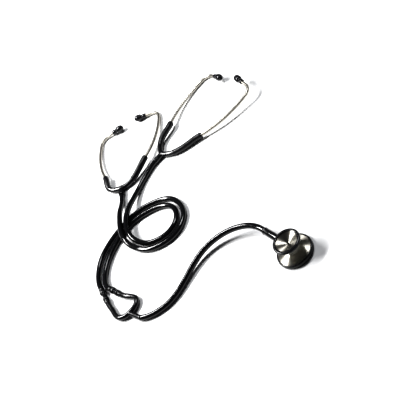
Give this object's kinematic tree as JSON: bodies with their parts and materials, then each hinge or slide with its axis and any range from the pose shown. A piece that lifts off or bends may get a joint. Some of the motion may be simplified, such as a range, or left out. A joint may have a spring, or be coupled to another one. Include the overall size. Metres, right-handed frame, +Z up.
{
  "type": "stethoscope",
  "caption": "Teaching stethoscope with paired sprung headsets, long black hoses, a lower yoke and a turning double-sided chestpiece, laid out on a table.",
  "frame": {"origin": "on the table, under the middle of the footprint of the headsets, yokes and chestpiece", "axes": "+Z up from the table; +Y from the chestpiece towards the headsets; +X to the right of +Y seen from above"},
  "size_m": [0.3635, 0.4979, 0.0275],
  "materials": {
    "hose": "glossy black flexible vinyl tubing",
    "moulding": "satin black moulding",
    "rubber": "soft black rubber",
    "chrome": "polished chrome plating",
    "steel": "finely turned steel",
    "spring": "plain spring steel",
    "film": "stiff pale film"
  },
  "bodies": {
    "frame": {"left_hose": "hose", "right_hose": "hose", "single_hose": "hose", "left_headset_yoke": "moulding", "left_headset_leaf_spring": "spring", "right_headset_yoke": "moulding", "right_headset_leaf_spring": "spring", "left_hose_connector": "moulding", "left_hose_lock_ring": "rubber", "right_hose_connector": "moulding", "right_hose_lock_ring": "rubber", "lower_yoke": "moulding", "stem_sleeve": "rubber", "stem": "steel", "retaining_clip": "spring", "detent_spring": "spring"},
    "left_headset_far_arm": {"left_headset_far_arm": "moulding"},
    "left_headset_far_ear_tube": {"left_headset_far_ear_tube": "chrome", "left_headset_far_nozzle": "chrome"},
    "left_headset_far_ear_tip": {"left_headset_far_ear_tip": "rubber"},
    "left_headset_near_arm": {"left_headset_near_arm": "moulding"},
    "left_headset_near_ear_tube": {"left_headset_near_ear_tube": "chrome", "left_headset_near_nozzle": "chrome"},
    "left_headset_near_ear_tip": {"left_headset_near_ear_tip": "rubber"},
    "right_headset_far_arm": {"right_headset_far_arm": "moulding"},
    "right_headset_far_ear_tube": {"right_headset_far_ear_tube": "chrome", "right_headset_far_nozzle": "chrome"},
    "right_headset_far_ear_tip": {"right_headset_far_ear_tip": "rubber"},
    "right_headset_near_arm": {"right_headset_near_arm": "moulding"},
    "right_headset_near_ear_tube": {"right_headset_near_ear_tube": "chrome", "right_headset_near_nozzle": "chrome"},
    "right_headset_near_ear_tip": {"right_headset_near_ear_tip": "rubber"},
    "chest_head": {"chestpiece_body": "steel", "bell_cup": "steel", "bell_ring": "rubber", "diaphragm_rim": "rubber", "diaphragm": "film", "diaphragm_gasket": "rubber"},
    "detent_ball": {"detent_ball": "spring"}
  },
  "joints": [
    {"name": "left_headset_far_arm_spread", "type": "hinge", "parent": "frame", "child": "left_headset_far_arm", "pos_m": [-0.0724, 0.12784, 0.00547], "axis": [0, 0, -1], "range_deg": [-12, 4], "stiffness_Nm_per_rad": 0.8},
    {"name": "left_headset_far_ear_tube_twist", "type": "hinge", "parent": "left_headset_far_arm", "child": "left_headset_far_ear_tube", "pos_m": [-0.069, 0.1606, 0.009], "axis": [-0.0521, -0.994, 0.0958], "range_deg": [-20, 30]},
    {"name": "left_headset_far_ear_tip_turn", "type": "hinge", "parent": "left_headset_far_ear_tube", "child": "left_headset_far_ear_tip", "pos_m": [-0.01474, 0.24102, 0.00539], "axis": [0.8631, -0.4903, 0.1208], "continuous": true},
    {"name": "left_headset_near_arm_spread", "type": "hinge", "parent": "frame", "child": "left_headset_near_arm", "pos_m": [-0.04759, 0.11212, 0.00519], "axis": [0, 0, 1], "range_deg": [-5, 4], "stiffness_Nm_per_rad": 0.8},
    {"name": "left_headset_near_ear_tube_twist", "type": "hinge", "parent": "left_headset_near_arm", "child": "left_headset_near_ear_tube", "pos_m": [-0.001, 0.1256, 0.01], "axis": [0.862, 0.4977, -0.0958], "range_deg": [-20, 30]},
    {"name": "left_headset_near_ear_tip_turn", "type": "hinge", "parent": "left_headset_near_ear_tube", "child": "left_headset_near_ear_tip", "pos_m": [0.04582, 0.21048, 0.00465], "axis": [-0.8324, 0.5469, 0.0899], "continuous": true},
    {"name": "right_headset_far_arm_spread", "type": "hinge", "parent": "frame", "child": "right_headset_far_arm", "pos_m": [0.02365, 0.12151, 0.00525], "axis": [0, 0, 1], "range_deg": [-4, 12], "stiffness_Nm_per_rad": 0.8},
    {"name": "right_headset_far_ear_tube_twist", "type": "hinge", "parent": "right_headset_far_arm", "child": "right_headset_far_ear_tube", "pos_m": [0.063, 0.1446, 0.008], "axis": [-0.8046, -0.5846, 0.1045], "range_deg": [-20, 30]},
    {"name": "right_headset_far_ear_tip_turn", "type": "hinge", "parent": "right_headset_far_ear_tube", "child": "right_headset_far_ear_tip", "pos_m": [0.15966, 0.15358, 0.00712], "axis": [0.1638, -0.9688, 0.1861], "continuous": true},
    {"name": "right_headset_near_arm_spread", "type": "hinge", "parent": "frame", "child": "right_headset_near_arm", "pos_m": [0.02675, 0.09498, 0.00492], "axis": [0, 0, -1], "range_deg": [-4, 12], "stiffness_Nm_per_rad": 0.8},
    {"name": "right_headset_near_ear_tube_twist", "type": "hinge", "parent": "right_headset_near_arm", "child": "right_headset_near_ear_tube", "pos_m": [0.08, 0.0696, 0.007], "axis": [0.8893, -0.4531, 0.061], "range_deg": [-20, 30]},
    {"name": "right_headset_near_ear_tip_turn", "type": "hinge", "parent": "right_headset_near_ear_tube", "child": "right_headset_near_ear_tip", "pos_m": [0.17637, 0.07659, 0.01644], "axis": [-0.005, 0.9987, 0.0498], "continuous": true},
    {"name": "chest_head_turn", "type": "hinge", "parent": "frame", "child": "chest_head", "pos_m": [0.05, -0.2244, 0.0135], "axis": [-0.1564, 0.9877, 0], "continuous": true},
    {"name": "detent_ball_press", "type": "slide", "parent": "frame", "child": "detent_ball", "axis": [0, 0, 1], "range_m": [-0.0005, 0], "stiffness_N_per_m": 800, "deforming": ["detent_spring"]}
  ]
}
